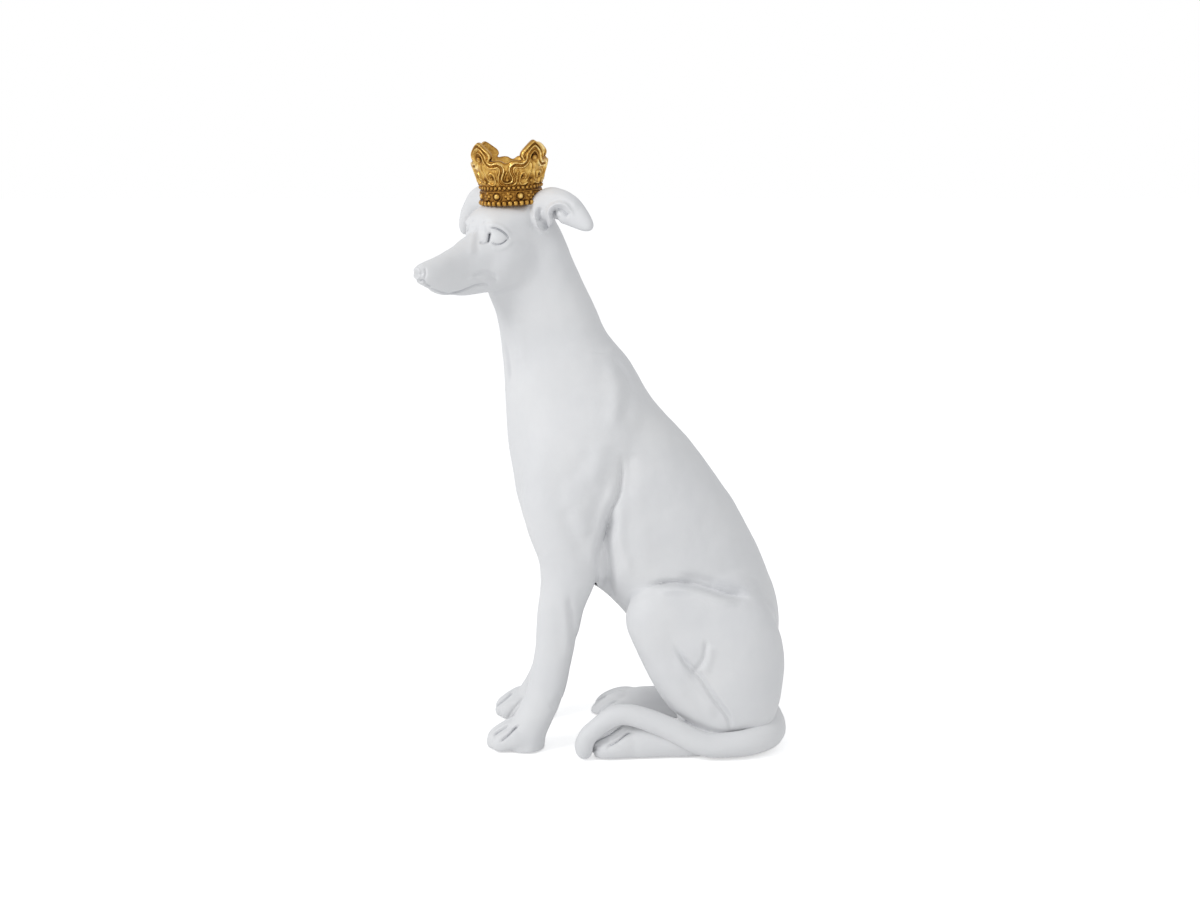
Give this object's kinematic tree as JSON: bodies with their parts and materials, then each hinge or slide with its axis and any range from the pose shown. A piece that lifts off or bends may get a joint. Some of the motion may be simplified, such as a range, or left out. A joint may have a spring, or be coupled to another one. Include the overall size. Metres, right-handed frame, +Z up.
{
  "type": "dog statuette",
  "caption": "Hollow cast sitting sighthound ornament with a turned head, a tail wrapped round its feet and a leafed crown, standing on felt pads",
  "frame": {"origin": "on the surface that the statuette stands on, under the middle of the whole figure", "axes": "+Z up, the dog's body faces -X, its left side, to which the head turns, is -Y"},
  "size_m": [0.2262, 0.1115, 0.3767],
  "materials": {
    "white_resin": "cast stone resin under matte white paint",
    "gold_paint": "antique gold leaf paint, brown in the recesses, on cast resin",
    "steel": "plain drawn steel rod",
    "raw_resin": "unpainted resin",
    "felt": "self adhesive felt"
  },
  "bodies": {
    "root": {"torso": "white_resin", "head": "white_resin", "left_ear": "white_resin", "right_ear": "white_resin", "left_foreleg": "white_resin", "right_foreleg": "white_resin", "left_hind_foot": "white_resin", "right_hind_foot": "white_resin", "tail": "white_resin", "crown": "gold_paint", "neck_pin": "steel", "crown_pin": "steel", "left_foreleg_rod": "steel", "right_foreleg_rod": "steel", "base_plug": "raw_resin", "left_fore_pad": "felt", "right_fore_pad": "felt", "left_hind_pad": "felt", "right_hind_pad": "felt", "rump_pad": "felt"}
  },
  "joints": []
}
